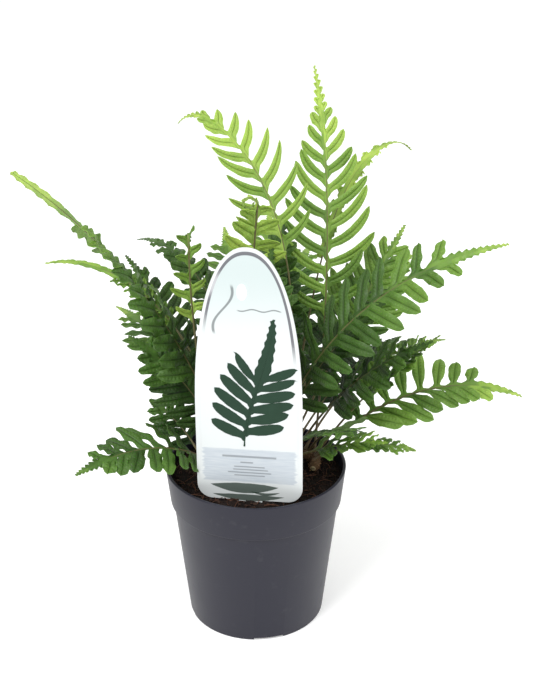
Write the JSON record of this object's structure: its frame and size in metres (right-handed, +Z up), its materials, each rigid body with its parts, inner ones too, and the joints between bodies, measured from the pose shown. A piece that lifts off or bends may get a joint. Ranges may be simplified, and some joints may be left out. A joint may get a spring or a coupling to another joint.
{
  "type": "potted fern",
  "caption": "Live polypody fern with arching pinnate fronds growing from creeping rhizomes in a round tapered nursery pot, with an arched plant label staked in front.",
  "frame": {"origin": "on the pot's axis, in the plane that the foot ring stands on, 2 mm below the flat underside of the pot's floor", "axes": "+Z up along the pot's axis; the label's printed face looks along -Y; +X to the right of someone facing the label"},
  "size_m": [0.3281, 0.2514, 0.3527],
  "materials": {
    "pot_plastic": "anthracite moulded polypropylene with a soft satin sheen",
    "potting_mix": "damp dark peat and bark crumbs with reddish fibres, wholly matt",
    "label_card": "white plastic card with a pale printed face and a low gloss",
    "rhizome_skin": "brown papery scales over a tan creeping stem",
    "leaf": "leathery green leaf, darker at the base and yellow-green at the tip, soft waxy sheen",
    "young_leaf": "fresh light green young frond, soft sheen"
  },
  "bodies": {
    "root": {"frond_arching": "leaf", "frond_back_a": "leaf", "frond_back_b": "leaf", "frond_back_c": "leaf", "frond_back_d": "leaf", "frond_back_e": "leaf", "frond_back_f": "leaf", "frond_back_g": "leaf", "frond_broad": "leaf", "frond_crozier_left": "young_leaf", "frond_crozier_mid": "young_leaf", "frond_dark_mid": "leaf", "frond_far_left": "leaf", "frond_high_left": "leaf", "frond_inner_back": "leaf", "frond_inner_low": "leaf", "frond_inner_right": "leaf", "frond_left_back": "leaf", "frond_left_mid": "leaf", "frond_low_back": "leaf", "frond_low_inner": "leaf", "frond_low_left": "leaf", "frond_lower_left": "leaf", "frond_lower_right": "leaf", "frond_pale_back": "leaf", "frond_right_back": "leaf", "frond_side_right": "leaf", "frond_small_left": "leaf", "frond_small_right": "leaf", "frond_tall": "leaf", "frond_thin_left": "leaf", "frond_thin_low": "leaf", "frond_upright": "leaf", "frond_upright_left": "leaf", "plant_label": "label_card", "pot": "pot_plastic", "potting_mix": "potting_mix", "rhizome_back": "rhizome_skin", "rhizome_front": "rhizome_skin", "rhizome_right": "rhizome_skin"}
  },
  "joints": []
}
